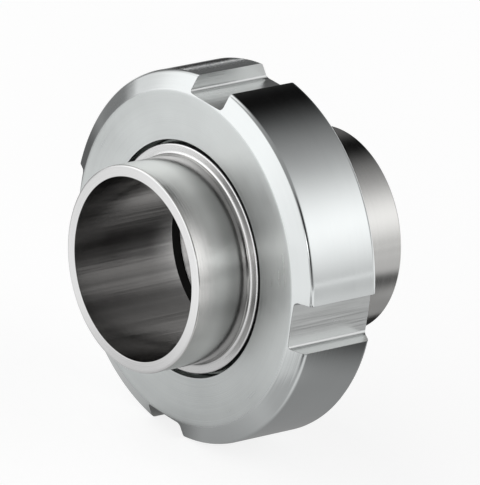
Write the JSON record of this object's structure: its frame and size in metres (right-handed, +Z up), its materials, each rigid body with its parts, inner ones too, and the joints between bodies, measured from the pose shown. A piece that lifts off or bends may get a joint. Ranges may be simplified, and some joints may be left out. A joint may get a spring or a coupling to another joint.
{
  "type": "sanitary union",
  "caption": "Sanitary pipe union: a slotted round nut clamps a welding liner and a threaded male part onto a seal ring.",
  "frame": {"origin": "on the union's axis, in the middle of the seal ring's lip, where the liner and the male part meet", "axes": "+X along the pipe from the liner's weld end to the male part's weld end, +Z up, with one spanner slot of the nut at the bottom"},
  "size_m": [0.0632, 0.0912, 0.0912],
  "materials": {
    "liner_steel": "satin turned stainless steel",
    "nut_steel": "bright turned stainless steel",
    "male_steel": "satin turned stainless steel",
    "seal_rubber": "matt black moulded rubber"
  },
  "bodies": {
    "liner": {"liner": "liner_steel"},
    "nut": {"slotted_nut": "nut_steel"},
    "male": {"male_part": "male_steel", "seal_ring": "seal_rubber"}
  },
  "joints": [
    {"name": "nut_turn", "type": "hinge", "parent": "liner", "child": "nut", "pos_m": [0, 0, 0], "axis": [-1, 0, 0], "range_deg": [0, 990]},
    {"name": "male_travel", "type": "slide", "parent": "liner", "child": "male", "axis": [1, 0, 0], "range_m": [0, 0.0117]}
  ],
  "couplings": [
    {"joint": "male_travel", "follows": "nut_turn", "m_per_rad": 0.00067376}
  ]
}
